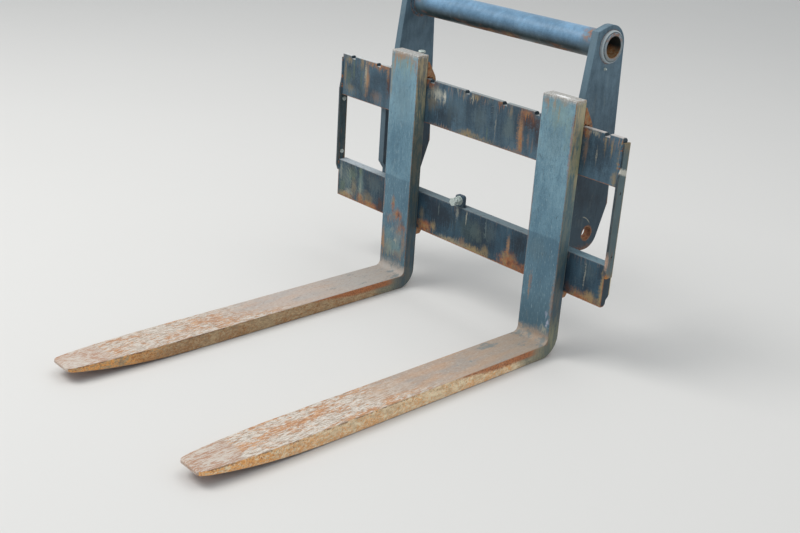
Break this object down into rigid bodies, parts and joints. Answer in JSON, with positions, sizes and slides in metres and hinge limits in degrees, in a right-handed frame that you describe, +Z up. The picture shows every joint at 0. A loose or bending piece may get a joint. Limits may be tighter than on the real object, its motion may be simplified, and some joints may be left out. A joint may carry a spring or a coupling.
{
  "type": "pallet fork attachment",
  "caption": "Telehandler pallet fork carriage: notched bars between two hitch plates with a cross tube, and hook-on L-shaped forks that slide along the bars.",
  "frame": {"origin": "middle of the attachment's bounding box at the ground", "axes": "+X along the bars to the right-hand fork, +Y from the fork tips to the hitch, +Z up"},
  "size_m": [1.216, 1.4966, 0.978],
  "materials": {
    "carriage_paint": "worn slate-blue paint with rust",
    "fork_steel": "worn blue-grey paint over rusted forged steel",
    "hook_steel": "rusted",
    "zinc": "zinc plated"
  },
  "bodies": {
    "carriage": {"upper_bar": "carriage_paint", "lower_bar": "carriage_paint", "ear_right": "carriage_paint", "ear_left": "carriage_paint", "hitch_tube": "carriage_paint", "tube_collar_right": "carriage_paint", "tube_collar_left": "carriage_paint", "end_plate_right": "carriage_paint", "end_plate_left": "carriage_paint", "stop_lug": "carriage_paint", "stop_screw": "zinc", "stop_nut": "zinc", "end_bolt_right_low": "zinc", "end_bolt_right_high": "zinc", "end_bolt_left_low": "zinc", "end_bolt_left_high": "zinc"},
    "fork_left": {"fork_left": "fork_steel", "fork_left_upper_hook": "hook_steel", "fork_left_lower_hook": "hook_steel", "fork_left_latch": "zinc"},
    "fork_right": {"fork_right": "fork_steel", "fork_right_upper_hook": "hook_steel", "fork_right_lower_hook": "hook_steel", "fork_right_latch": "zinc"}
  },
  "joints": [
    {"name": "fork_left_slide", "type": "slide", "parent": "carriage", "child": "fork_left", "axis": [1, 0, 0], "range_m": [-0.2842, 0.161]},
    {"name": "fork_right_slide", "type": "slide", "parent": "carriage", "child": "fork_right", "axis": [1, 0, 0], "range_m": [-0.318, 0.1272]}
  ]
}
